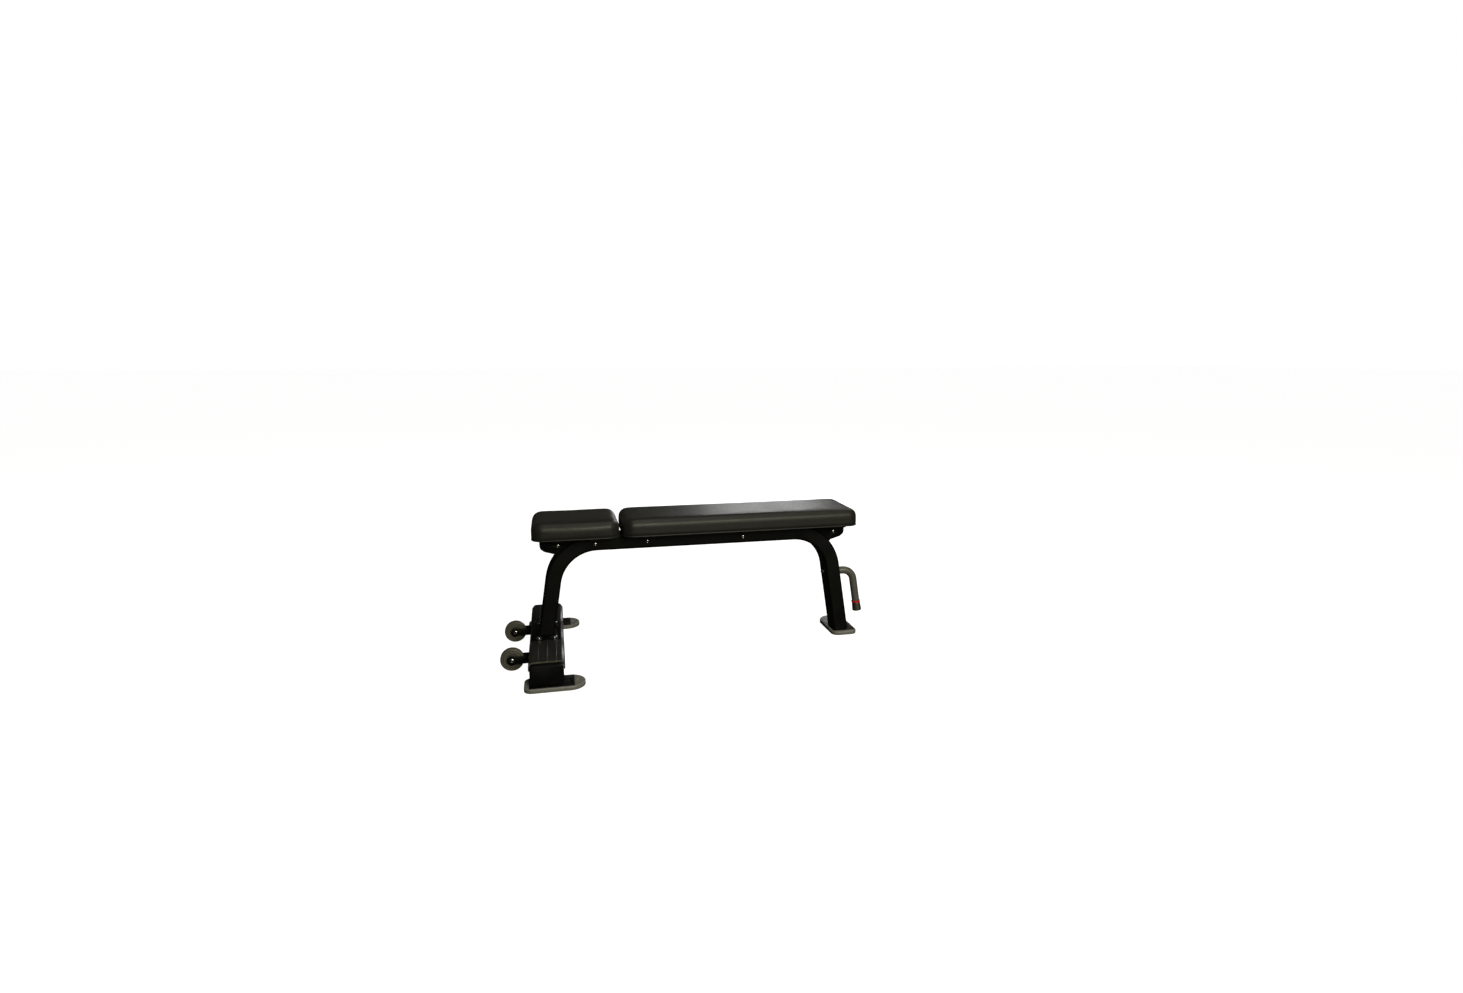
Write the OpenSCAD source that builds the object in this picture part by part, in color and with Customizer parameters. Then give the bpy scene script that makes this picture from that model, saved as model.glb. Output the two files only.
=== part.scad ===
// Flat weight bench: one bent steel tube on three cast feet, with two pads,
// a stepped base with ribbed tread covers, two transport wheels and a lift handle.
// +X runs from the wheels to the handle, +Y away from the viewer, +Z up.
// The origin is on the floor, below the centre of the bench's box.

/* [Main tube] */
// Width of the tube in the plane of the arch
tube_w = 50; // [40:1:60]
// Depth of the tube across the bench
tube_d = 75; // [60:1:80]
// Wall of the tube
tube_wall = 3; // [2:0.5:4]
// Corner radius of the tube
tube_corner = 8; // [5:1:10]
// Height of the tube's centre line under the pads
arch_z = 375; // [360:1:390]
// Distance between the points where the leg lines meet the top line
arch_span = 914; // [880:1:940]
// Centre line radius of the two bends
bend_r = 145; // [120:1:160]
// Outward lean of the legs
lean = 9.053; // [8:0.001:10]

/* [Pads] */
// Height of the pad tops
pad_top = 464.5; // [450:0.5:475]
// Width of both pads
pad_w = 236; // [220:1:300]
// Length of the short pad
short_pad_l = 274.5; // [250:0.5:290]
// Length of the long pad
long_pad_l = 793; // [760:1:800]
// Gap between the pads
pad_gap = 9; // [6:1:25]
// Corner radius of the pads, seen from above
pad_corner = 36; // [30:1:45]
// Radius of the pads' top edges
pad_edge = 25.5; // [14:0.5:28]
// Thickness of the vinyl cover
cover_t = 1.5; // [1:0.1:2]
// Thickness of the plywood boards
board_t = 12; // [10:1:15]

/* [Base] */
// Width of the base box along the bench
base_w = 100; // [90:1:110]
// Height of the base box
base_h = 62; // [55:1:65]
// Length of the base box across the bench
base_l = 590; // [560:2:620]
// Thickness of the saddle plate and the tread covers
saddle_t = 3.5; // [3:0.1:4]
// Length of the saddle plate across the bench
saddle_l = 183; // [170:1:200]
// Depth of the skirts below the top of the base
skirt_h = 23; // [18:1:26]
// Length of each tread cover
tread_l = 180; // [160:1:185]
// Pitch of the fine ribs on the tread covers
rib_pitch = 4.5; // [4:0.5:6]
// Distance between the three round ridges along each tread cover
ridge_pitch = 27; // [24:1:30]

/* [Feet] */
// Length of a cast foot
foot_l = 180; // [170:1:190]
// Width of a cast foot
foot_w = 92; // [84:1:94]
// Height of the top of a foot above the floor
foot_top = 13.5; // [12:0.5:16]
// Diameter of the anchor holes
anchor_d = 9; // [7:0.5:11]
// Distance of an anchor hole from the foot's tip
anchor_in = 18.5; // [16:0.5:22]

/* [Wheels] */
// Diameter of a wheel
wheel_d = 72; // [66:1:76]
// Width of a wheel
wheel_w = 22; // [18:1:24]
// Height of the axle above the floor
axle_z = 41; // [40:0.5:44]
// Distance of the axle from the centre of the base
axle_out = 106.4; // [100:0.2:112]
// Distance of a wheel from the middle of the bench
wheel_y = 127.6; // [115:0.2:135]

/* [Handle] */
// Height of the handle's top stretch
handle_z = 221.5; // [200:0.5:240]
// Outer diameter of the handle tube
handle_d = 26.7; // [24:0.1:28]
// Horizontal distance from the leg's face to the grip's centre line
grip_out = 55.3; // [50:0.1:62]
// Length of the straight grip from the bend to the end of its cap
grip_l = 119; // [105:1:130]
// Outward lean of the grip
grip_lean = 9.243; // [8:0.001:10]
// Centre line radius of the handle's bend
handle_bend = 40; // [34:1:44]

/* [Hidden] */
$fn = 64;
eps = 0.01;

// pads: heights and places along the bench
tube_top = arch_z + tube_w / 2;
strap_t = 5;
pad_bottom = tube_top + strap_t;
pad_h = pad_top - pad_bottom;
pad_low_edge = 7;
pad_start = 34.1;

// base, feet and floor
plate_t = 6;
plate_sink = 5;
plate_top = foot_top - plate_sink + plate_t;
foot_bottom = 1;
foot_rear = 67.6;
foot_y = 267.6;
foot_pad_r = 13;
foot_pad_h = 3.2;
base_bottom = plate_top;
base_top = base_bottom + base_h;
base_wall = 3;
base_corner = 10;
end_plate_t = 4;
saddle_top = base_top + saddle_t;
tread_t = saddle_t + 0.5;
rib_h = 0.6;
ridge_r = 6;
ridge_h = 1.6;
wrap_gap = 0.2;

// pocket of a foot, measured from the leg's centre towards the tip
pocket_back = 53;
pocket_front = 80;
pocket_w = 80;

// places along the bench are kept to a tenth of a millimetre
function tenth(v) = round(v * 10) / 10;

// the arch, worked out from the left leg, which stands on the middle of the base
lean_run = tan(lean);
corner_to_bend = tenth(bend_r * tan((90 - lean) / 2));
bend_sweep = 90 - lean;
bend_z = arch_z - bend_r;
left_corner_reach = tenth(lean_run * (arch_z - saddle_top));
right_corner_reach = left_corner_reach + arch_span;
tube_half_x = tube_w / 2 / cos(lean);

// the handle, measured from the middle of the base, and the whole length of the bench
cap_r = 16;
cap_lip = 2;
cap_l = 30;
ring_r = 15.5;
ring_l = 6;
handle_r = handle_d / 2;
handle_wall = 2.6;
grip_tube_l = grip_l - cap_l - ring_l;
leg_face_reach = tenth(right_corner_reach + lean_run * (arch_z - handle_z) + tube_half_x);
handle_bend_reach = tenth(leg_face_reach + grip_out - handle_bend * tan((90 - grip_lean) / 2));
cap_reach = cos(grip_lean) * (handle_bend + cap_r) + sin(grip_lean) * (grip_l - cap_lip);
right_reach = handle_bend_reach + cap_reach;
left_reach = axle_out + wheel_d / 2;

// the origin is below the middle of the box, so the base stands at -X
base_x = tenth((left_reach - right_reach) / 2);
corner_left = base_x + left_corner_reach;
corner_right = corner_left + arch_span;
bend_left = corner_left + corner_to_bend;
bend_right = corner_right - corner_to_bend;
handle_leg_x = tenth(corner_right + lean_run * (arch_z - base_bottom));
handle_foot_shift = 8;
leg_face_x = base_x + leg_face_reach;
handle_bend_x = base_x + handle_bend_reach;
leg_inner_x = leg_face_x - 2 * tube_half_x;
handle_head_x = leg_inner_x - 4;

// pads
short_x0 = base_x - pad_start;
short_x1 = short_x0 + short_pad_l;
long_x0 = short_x1 + pad_gap;
long_x1 = long_x0 + long_pad_l;

// straps under the pads
strap_w = 40;
strap_l = 200;
strap_xs = [for (dx = [46, 165, 333, 657, 980]) base_x + dx];
ear_y = 26;
ear_t = 3.5;
ear_w = 30;
ear_bottom = 363;
ear_slot_gap = 0.5;
ear_side_gap = 0.3;
cross_z = 373;
pad_bolt_y = 75;

// end gussets
gusset_half = 34;
gusset_wall = 4;
gusset_over = 58;
gusset_in = 78;
gusset_low = 364;
gusset_tail = 345;
gusset_tail_in = 10;
gusset_nose = 9;
gusset_nose_in = 3;
gusset_slope_in = 14;

// fasteners, by thread radius
m8 = 4;
m10 = 5;
m8_hole = 4.5;
m10_hole = 5.5;
saddle_bolt_x = 24.4;
saddle_bolt_y = 70;

// wheels
fork_in = 13;
fork_t = 3;
fork_h = 24;
fork_end_r = 15;
tyre_in_r = 20;
bush_r = 7;
bush_l = wheel_w + 1;
running_gap = 0.05;

// ---- shapes used more than once

// rectangle with round corners, centred
module round_rect(w, h, r) {
    square([w - 2 * r, h], center = true);
    square([w, h - 2 * r], center = true);
    for (sx = [-1, 1], sy = [-1, 1])
        translate([sx * (w / 2 - r), sy * (h / 2 - r)]) circle(r);
}

// section of the main tube, smaller all round by inset
module tube_section(inset) {
    round_rect(tube_w - 2 * inset, tube_d - 2 * inset, tube_corner - inset);
}

// solid along the arch's whole centre line, smaller all round by inset
module arch_solid(inset) {
    reach = 320;
    translate([bend_left, 0, arch_z]) rotate([0, 90, 0])
        linear_extrude(bend_right - bend_left) tube_section(inset);
    translate([bend_left, 0, bend_z]) rotate([90, 0, 0]) rotate([0, 0, 90])
        rotate_extrude(angle = bend_sweep, $fn = 128)
            translate([bend_r, 0]) tube_section(inset);
    translate([bend_right, 0, bend_z]) rotate([90, 0, 0]) rotate([0, 0, lean])
        rotate_extrude(angle = bend_sweep, $fn = 128)
            translate([bend_r, 0]) tube_section(inset);
    translate([bend_left, 0, bend_z]) rotate([0, lean, 0])
        translate([-bend_r, 0, -reach]) linear_extrude(reach) tube_section(inset);
    translate([bend_right, 0, bend_z]) rotate([0, -lean, 0])
        translate([bend_r, 0, -reach]) linear_extrude(reach) tube_section(inset);
}

// everything under the saddle on one side and under the foot plate on the other
module below_legs() {
    translate([base_x - 250, -200, -300]) cube([500, 400, 300 + saddle_top]);
    translate([base_x + 500, -200, -300]) cube([800, 400, 300 + base_bottom]);
}

// hexagon nut or bolt head standing on z = 0, with an optional hole
module hex_body(across, h, hole = 0) {
    difference() {
        cylinder(r = across / 2 / cos(30), h = h, $fn = 6);
        if (hole > 0) translate([0, 0, -1]) cylinder(r = hole, h = h + 2);
    }
}

// low round head with a hexagon socket, standing on z = 0
module button_head(r, h, key) {
    difference() {
        union() {
            cylinder(r = r, h = h * 0.4);
            translate([0, 0, h * 0.4]) cylinder(r1 = r, r2 = r * 0.62, h = h * 0.6);
        }
        translate([0, 0, h * 0.45]) cylinder(r = key / 2 / cos(30), h = h, $fn = 6);
    }
}

module washer(r, hole, h) {
    difference() {
        cylinder(r = r, h = h);
        translate([0, 0, -1]) cylinder(r = hole, h = h + 2);
    }
}

// turns +Z to point along +X or along -Y
module along_x() rotate([0, 90, 0]) children();
module towards_viewer() rotate([90, 0, 0]) children();

module at_straps() {
    for (x = strap_xs) translate([x, 0, 0]) children();
}

// slots for the straps' ears and holes for the cross bolts
module strap_cuts() at_straps() {
    slot_w = ear_w + 2 * ear_slot_gap;
    slot_t = ear_t + 2 * ear_side_gap;
    for (s = [-1, 1])
        translate([-slot_w / 2, s * (ear_y + ear_t / 2) - slot_t / 2, arch_z])
            cube([slot_w, slot_t, tube_w]);
    cross_hole();
}

module cross_hole() translate([0, tube_d, cross_z]) towards_viewer()
    cylinder(r = m8_hole, h = 2 * tube_d);

module at_pad_bolts() {
    at_straps() for (s = [-1, 1]) translate([0, s * pad_bolt_y, 0]) children();
}

module at_saddle_bolts() {
    for (sx = [-1, 1], sy = [-1, 1])
        translate([base_x + sx * saddle_bolt_x, sy * saddle_bolt_y, 0]) children();
}

// places a foot and what belongs to it: tip towards +X at the base, +Y at the handle's leg
module at_near_foot() translate([base_x, -foot_y, 0]) children();
module at_far_foot() translate([base_x, foot_y, 0]) children();
module at_handle_foot() translate([handle_leg_x + handle_foot_shift, handle_foot_shift, 0])
    rotate([0, 0, 90]) children();

module at_feet() {
    at_near_foot() children();
    at_far_foot() children();
    at_handle_foot() children();
}

// the middle of a wheel, axis along Y
module at_wheel(side) translate([base_x - axle_out, side * wheel_y, axle_z]) children();

module at_wheels() {
    for (s = [-1, 1]) at_wheel(s) children();
}

// ---- frame

module main_tube() color([0.05, 0.05, 0.045]) {
    difference() {
        arch_solid(0);
        arch_solid(tube_wall);
        below_legs();
        strap_cuts();
        translate([leg_face_x - 100, 0, handle_z]) along_x() cylinder(r = m10_hole, h = 120);
    }
}

// folded box between a pad's outer end and the bend of the tube; out is -1 or 1
module gusset(corner, out, bend_x) {
    difference() {
        gusset_profile(corner, out, gusset_half, 0);
        gusset_profile(corner, out, gusset_half - gusset_wall, gusset_wall);
        translate([bend_x, gusset_half + 1, bend_z]) towards_viewer()
            cylinder(r = bend_r + tube_w / 2, h = 2 * gusset_half + 2, $fn = 128);
        strap_cuts();
    }
}

// side view of a gusset, as a solid of the given half width
module gusset_profile(corner, out, half, inset) {
    end_x = corner + out * (gusset_over - inset);
    top = tube_top - inset;
    translate([0, half, 0]) towards_viewer() linear_extrude(2 * half)
        polygon([
            [corner - out * gusset_in, top],
            [end_x, top],
            [end_x, gusset_low + gusset_nose],
            [end_x - out * gusset_nose_in, gusset_low + inset],
            [end_x - out * gusset_slope_in, gusset_low - gusset_nose + inset],
            [corner + out * gusset_tail_in, gusset_tail + inset],
            [corner - out * 10, gusset_tail - 25],
            [corner - out * gusset_in, arch_z]
        ]);
}

module gusset_wheel_end() color([0.05, 0.05, 0.045]) gusset(corner_left, -1, bend_left);

module gusset_handle_end() color([0.05, 0.05, 0.045]) gusset(corner_right, 1, bend_right);

// five flat bars across the tube, each with two ears that the cross bolts hold
module pad_straps() color([0.06, 0.06, 0.06]) at_straps() {
    difference() {
        union() {
            translate([-strap_w / 2, -strap_l / 2, tube_top])
                cube([strap_w, strap_l, strap_t]);
            for (s = [-1, 1])
                translate([-ear_w / 2, s * (ear_y + ear_t / 2) - ear_t / 2, ear_bottom])
                    cube([ear_w, ear_t, tube_top - ear_bottom + eps]);
        }
        for (s = [-1, 1])
            translate([0, s * pad_bolt_y, tube_top - 1])
                cylinder(r = m8_hole, h = strap_t + 2);
        cross_hole();
    }
}

// half depth of what a cross bolt clamps: the gussets are narrower than the tube
function clamp_half(i) = i == 0 || i == len(strap_xs) - 1 ? gusset_half : tube_d / 2;

module cross_bolts() color([0.8, 0.8, 0.8]) {
    for (i = [0 : len(strap_xs) - 1])
        translate([strap_xs[i], -clamp_half(i), cross_z]) {
            towards_viewer() button_head(7, 4.4, 5);
            rotate([-90, 0, 0]) cylinder(r = m8, h = 2 * clamp_half(i) + 9);
        }
}

module cross_nuts() color([0.75, 0.75, 0.75]) {
    for (i = [0 : len(strap_xs) - 1])
        translate([strap_xs[i], clamp_half(i), cross_z]) rotate([-90, 0, 0])
            hex_body(13, 6.5, m8);
}

// ---- pads

// a quarter-rounded puck: the corner of a pad
module pad_puck(r, h, edge, low) {
    rotate_extrude($fn = 40) {
        square([r - edge, h]);
        square([r - low, h - edge]);
        translate([0, low]) square([r, h - edge - low]);
        intersection() {
            translate([r - edge, h - edge]) circle(edge, $fn = 40);
            square([r, h]);
        }
        intersection() {
            translate([r - low, low]) circle(low, $fn = 24);
            square([r, h]);
        }
    }
}

module pad_solid(x0, x1, inset) {
    in = pad_corner;
    hull() for (x = [x0 + in, x1 - in], s = [-1, 1])
        translate([x, s * (pad_w / 2 - in), pad_bottom + inset])
            pad_puck(pad_corner - inset, pad_h - 2 * inset, pad_edge - inset, pad_low_edge - inset);
}

module pad_board(x0, x1) {
    in = 9;
    translate([(x0 + x1) / 2, 0, pad_bottom + cover_t]) linear_extrude(board_t)
        round_rect(x1 - x0 - 2 * in, pad_w - 2 * in, pad_corner - in);
}

module tnut() {
    translate([0, 0, pad_bottom + cover_t + 2]) difference() {
        union() {
            cylinder(r = 5.4, h = board_t - 2 + eps);
            translate([0, 0, board_t - 2]) cylinder(r = 11, h = 1.5);
        }
        translate([0, 0, -1]) cylinder(r = m8, h = board_t + 2);
    }
}

module foam(x0, x1) color([0.75, 0.72, 0.55]) {
    difference() {
        pad_solid(x0, x1, cover_t);
        pad_board(x0, x1);
        at_pad_bolts() translate([0, 0, pad_bottom + board_t]) cylinder(r = 11.2, h = 6);
    }
}

module board(x0, x1) color([0.6, 0.45, 0.28]) {
    difference() {
        pad_board(x0, x1);
        at_pad_bolts() translate([0, 0, pad_bottom]) cylinder(r = 5.4, h = board_t + 5);
    }
}

module cover(x0, x1) color([0.13, 0.13, 0.12]) {
    difference() {
        pad_solid(x0, x1, 0);
        pad_solid(x0, x1, cover_t);
        at_pad_bolts() translate([0, 0, pad_bottom - 1]) cylinder(r = 5.4, h = 5);
    }
}

module short_pad_board() board(short_x0, short_x1);

module short_pad_foam() foam(short_x0, short_x1);

module short_pad_cover() cover(short_x0, short_x1);

module long_pad_board() board(long_x0, long_x1);

module long_pad_foam() foam(long_x0, long_x1);

module long_pad_cover() cover(long_x0, long_x1);

module pad_bolts() color([0.7, 0.7, 0.72]) {
    at_pad_bolts() translate([0, 0, tube_top]) {
        translate([0, 0, -5.3]) hex_body(13, 5.3);
        cylinder(r = m8, h = 16);
    }
}

module pad_tnuts() color([0.7, 0.7, 0.72]) at_pad_bolts() tnut();

// ---- base

module base_section(inset) {
    round_rect(base_w - 2 * inset, base_h - 2 * inset, base_corner - inset);
}

// box across the bench, from y0, with the base's section
module base_run(y0, l, inset) {
    translate([base_x, y0 + l, base_bottom + base_h / 2]) towards_viewer()
        linear_extrude(l) base_section(inset);
}

module base_tube() color([0.045, 0.045, 0.04]) {
    l = base_l - 2 * end_plate_t;
    difference() {
        base_run(-l / 2, l, 0);
        base_run(-l / 2 - 1, l + 2, base_wall);
        at_saddle_bolts() translate([0, 0, base_top - 10]) cylinder(r = m10_hole, h = 20);
        for (s = [-1, 1])
            translate([base_x - base_w, s * wheel_y, axle_z]) along_x()
                cylinder(r = m8_hole, h = base_w);
    }
}

module base_end_plate_near() color([0.045, 0.045, 0.04]) base_run(-base_l / 2, end_plate_t, 0);

module base_end_plate_far() color([0.045, 0.045, 0.04])
    base_run(base_l / 2 - end_plate_t, end_plate_t, 0);

// section of a cover that wraps over the base: top, round shoulders and two skirts
module wrap_section(t, rib) {
    outer_w = base_w + 2 * (t + wrap_gap);
    shoulder = base_corner + t + wrap_gap;
    top = base_top + t;
    difference() {
        union() {
            translate([0, top - 30]) round_rect(outer_w, 60, shoulder);
            if (rib > 0) tread_ribs(outer_w - 2 * shoulder, top, rib);
        }
        translate([0, base_top - 30]) round_rect(base_w + 2 * wrap_gap, 60, base_corner + wrap_gap);
        translate([-outer_w, top - 60 - 40]) square([2 * outer_w, 100 - t - skirt_h]);
    }
}

// fine ribs along the tread with three round ridges among them
module tread_ribs(w, top, rib) {
    count = floor(w / rib_pitch / 2);
    for (i = [-count : count])
        translate([i * rib_pitch - rib_pitch / 4, top - 1]) square([rib_pitch / 2, 1 + rib]);
    for (i = [-1 : 1])
        translate([i * ridge_pitch, top + ridge_h - ridge_r]) circle(ridge_r);
}

module tread(y0) {
    translate([base_x, y0 + tread_l, 0]) towards_viewer()
        linear_extrude(tread_l) wrap_section(tread_t, rib_h);
}

module tread_cover_near() color([0.2, 0.2, 0.2]) tread(-saddle_l / 2 - tread_l - wrap_gap);

module tread_cover_far() color([0.2, 0.2, 0.2]) tread(saddle_l / 2 + wrap_gap);

module saddle_plate() color([0.03, 0.03, 0.03]) {
    difference() {
        translate([base_x, saddle_l / 2, 0]) towards_viewer()
            linear_extrude(saddle_l) wrap_section(saddle_t, 0);
        at_saddle_bolts() translate([0, 0, base_top - 5]) cylinder(r = m10_hole, h = 20);
    }
}

module saddle_bolts() color([0.85, 0.85, 0.85]) at_saddle_bolts() {
    translate([0, 0, saddle_top + 1.5]) button_head(8.5, 5, 6);
    translate([0, 0, saddle_top - 18]) cylinder(r = m10, h = 19.5 + eps);
}

module saddle_washers() color([0.8, 0.8, 0.8]) at_saddle_bolts()
    translate([0, 0, saddle_top]) washer(10.5, m10_hole, 1.5);

module saddle_nuts() color([0.7, 0.7, 0.7]) at_saddle_bolts()
    translate([0, 0, base_top - base_wall - 8]) hex_body(16, 8, m10);

// ---- feet

// outline of a foot with its tip towards +X, smaller all round by inset
module foot_outline(inset) {
    rear_r = 25;
    tip_x = foot_l - foot_rear - foot_w / 2;
    hull() {
        translate([tip_x, 0]) circle(foot_w / 2 - inset);
        for (s = [-1, 1])
            translate([rear_r - foot_rear, s * (foot_w / 2 - rear_r)]) circle(rear_r - inset);
    }
}

module foot() {
    anchor_x = foot_l - foot_rear - anchor_in;
    difference() {
        hull() {
            translate([0, 0, foot_bottom]) linear_extrude(foot_top - foot_bottom - 3)
                foot_outline(0);
            translate([0, 0, foot_top - 0.2]) linear_extrude(0.2) foot_outline(3);
        }
        translate([-pocket_back, -pocket_w / 2, foot_top - plate_sink])
            cube([pocket_back + pocket_front, pocket_w, plate_sink + 1]);
        translate([anchor_x, 0, -1]) cylinder(r = anchor_d / 2, h = foot_top + 2);
        foot_places() translate([0, 0, -1]) cylinder(r = m8_hole, h = 20);
        pad_places() translate([0, 0, -1]) cylinder(r = foot_pad_r + 0.1, h = 1 + foot_pad_h);
    }
}

module foot_places() {
    for (x = [-38, 64]) translate([x, 0, 0]) children();
}

module pad_places() {
    for (x = [-12, 34], s = [-1, 1]) translate([x, s * 24, 0]) children();
}

module foot_plate() {
    clear = 0.5;
    difference() {
        translate([clear - pocket_back, clear - pocket_w / 2, foot_top - plate_sink])
            cube([pocket_back + pocket_front - 2 * clear, pocket_w - 2 * clear, plate_t]);
        foot_places() translate([0, 0, 1]) cylinder(r = m8, h = 20);
    }
}

module foot_near() color([0.5, 0.5, 0.46]) at_near_foot() foot();

module foot_far() color([0.5, 0.5, 0.46]) at_far_foot() foot();

module foot_handle_end() color([0.5, 0.5, 0.46]) at_handle_foot() foot();

module foot_plate_near() color([0.03, 0.03, 0.03]) at_near_foot() foot_plate();

module foot_plate_far() color([0.03, 0.03, 0.03]) at_far_foot() foot_plate();

module foot_plate_handle_end() color([0.03, 0.03, 0.03]) at_handle_foot() foot_plate();

module foot_screws() color([0.6, 0.6, 0.6]) at_feet() foot_places() {
    translate([0, 0, foot_bottom + 0.5]) cylinder(r = m8, h = plate_top - foot_bottom - 1);
}

module foot_pads() color([0.08, 0.08, 0.08]) at_feet() pad_places()
    cylinder(r = foot_pad_r, h = foot_pad_h);

// ---- wheels

// bracket with two arms around a wheel, its back on the side of the base
module fork() {
    back_x = axle_out - base_w / 2;
    difference() {
        union() {
            for (s = [-1, 1])
                translate([0, s * (fork_in + fork_t / 2) + fork_t / 2, 0]) towards_viewer() {
                    cylinder(r = fork_end_r, h = fork_t);
                    translate([0, -fork_h / 2, 0]) cube([back_x, fork_h, fork_t]);
                }
            translate([back_x - 4, -fork_in - fork_t, -fork_h / 2])
                cube([4, 2 * (fork_in + fork_t), fork_h]);
        }
        translate([0, 50, 0]) towards_viewer() cylinder(r = m8_hole, h = 100);
        along_x() cylinder(r = m8_hole, h = 200);
    }
}

module wheel_fork_near() color([0.045, 0.045, 0.04]) at_wheel(-1) fork();

module wheel_fork_far() color([0.045, 0.045, 0.04]) at_wheel(1) fork();

module at_fork_bolts() at_wheels() translate([axle_out - base_w / 2, 0, 0]) children();

module fork_bolts() color([0.7, 0.7, 0.7]) at_fork_bolts() {
    translate([-4, 0, 0]) rotate([0, -90, 0]) button_head(7, 4.4, 5);
    translate([-4, 0, 0]) along_x() cylinder(r = m8, h = 20);
}

module fork_nuts() color([0.7, 0.7, 0.7]) at_fork_bolts()
    translate([base_wall, 0, 0]) along_x() hex_body(13, 6.5, m8);

// ring around the wheel's axis with round shoulders
module tyre() {
    shoulder = 6;
    rotate([90, 0, 0]) rotate_extrude($fn = 96) difference() {
        union() {
            translate([0, -wheel_w / 2]) square([wheel_d / 2 - shoulder, wheel_w]);
            translate([0, shoulder - wheel_w / 2]) square([wheel_d / 2, wheel_w - 2 * shoulder]);
            for (s = [-1, 1])
                translate([wheel_d / 2 - shoulder, s * (wheel_w / 2 - shoulder)])
                    circle(shoulder, $fn = 48);
        }
        translate([-1, -wheel_w]) square([tyre_in_r + 1, 2 * wheel_w]);
    }
}

module hub() {
    web = 14;
    towards_viewer() difference() {
        union() {
            translate([0, 0, -web / 2]) cylinder(r = tyre_in_r, h = web);
            translate([0, 0, -wheel_w / 2]) cylinder(r = bush_r + 4, h = wheel_w);
        }
        translate([0, 0, -wheel_w]) cylinder(r = bush_r, h = 2 * wheel_w);
    }
}

module bush() {
    towards_viewer() difference() {
        translate([0, 0, -bush_l / 2]) cylinder(r = bush_r, h = bush_l);
        translate([0, 0, -bush_l]) cylinder(r = m8 + running_gap, h = 2 * bush_l);
    }
}

module wheel_near_tyre() color([0.5, 0.5, 0.45]) at_wheel(-1) tyre();

module wheel_far_tyre() color([0.5, 0.5, 0.45]) at_wheel(1) tyre();

module wheel_near_hub() color([0.42, 0.42, 0.38]) at_wheel(-1) hub();

module wheel_far_hub() color([0.42, 0.42, 0.38]) at_wheel(1) hub();

module wheel_near_bush() color([0.6, 0.5, 0.3]) at_wheel(-1) bush();

module wheel_far_bush() color([0.6, 0.5, 0.3]) at_wheel(1) bush();

module axle_bolts() color([0.85, 0.85, 0.85]) at_wheels() translate([0, -fork_in - fork_t, 0]) {
    towards_viewer() button_head(7.5, 4.4, 5);
    rotate([-90, 0, 0]) cylinder(r = m8, h = 2 * (fork_in + fork_t) + 9);
}

module axle_nuts() color([0.75, 0.75, 0.75]) at_wheels()
    translate([0, fork_in + fork_t, 0]) rotate([-90, 0, 0]) hex_body(13, 8, m8);

module axle_washers() color([0.75, 0.75, 0.75]) at_wheels() {
    h = fork_in - bush_l / 2 - 0.1;
    for (flip = [0, 1])
        mirror([0, flip, 0]) translate([0, fork_in, 0]) towards_viewer()
            washer(8, m8 + 0.02, h);
}

// ---- handle

// puts children on the grip's line, z measured up from the lower end of the bend
module on_grip() translate([handle_bend_x, 0, handle_z - handle_bend]) rotate([0, -grip_lean, 0])
    translate([handle_bend, 0, 0]) children();

// everything on the inner side of the leg's outer face
module leg_side() {
    translate([leg_face_x, 0, handle_z]) rotate([0, -lean, 0])
        translate([-200, -100, -100]) cube([200, 200, 200]);
}

module handle_solid(r) {
    stub = 20;
    translate([leg_face_x - stub, 0, handle_z]) along_x()
        cylinder(r = r, h = handle_bend_x - leg_face_x + stub);
    translate([handle_bend_x, 0, handle_z - handle_bend]) rotate([90, 0, 0])
        rotate([0, 0, grip_lean]) rotate_extrude(angle = 90 - grip_lean, $fn = 96)
            translate([handle_bend, 0]) circle(r);
    on_grip() translate([0, 0, -grip_tube_l]) cylinder(r = r, h = grip_tube_l);
}

module handle_tube() color([0.5, 0.5, 0.46]) {
    difference() {
        handle_solid(handle_r);
        handle_solid(handle_r - handle_wall);
        leg_side();
    }
}

// threaded insert in the end of the handle tube
module handle_plug() color([0.6, 0.6, 0.6]) {
    difference() {
        translate([leg_face_x - 10, 0, handle_z]) along_x()
            cylinder(r = handle_r - handle_wall, h = 30);
        leg_side();
        translate([leg_face_x - 20, 0, handle_z]) along_x() cylinder(r = m10, h = 60);
    }
}

module handle_bolt() color([0.7, 0.7, 0.7]) {
    translate([handle_head_x, 0, handle_z]) {
        along_x() cylinder(r = m10, h = leg_face_x - handle_head_x + 18);
        rotate([0, -90, 0]) button_head(8.5, 5, 6);
    }
}

// wedge washer that squares the bolt head to the leaning leg
module handle_washer() color([0.7, 0.7, 0.7]) {
    difference() {
        translate([handle_head_x, 0, handle_z]) along_x() cylinder(r = 10, h = 8);
        translate([leg_inner_x, 0, handle_z]) rotate([0, -lean, 0])
            translate([0, -50, -50]) cube([100, 100, 100]);
        translate([handle_head_x - 1, 0, handle_z]) along_x() cylinder(r = m10_hole, h = 20);
    }
}

module handle_ring() color([0.75, 0.03, 0.05]) {
    on_grip() translate([0, 0, -grip_tube_l - ring_l]) difference() {
        cylinder(r = ring_r, h = ring_l);
        translate([0, 0, -1]) cylinder(r = handle_r - handle_wall, h = ring_l + 2);
    }
}

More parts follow.
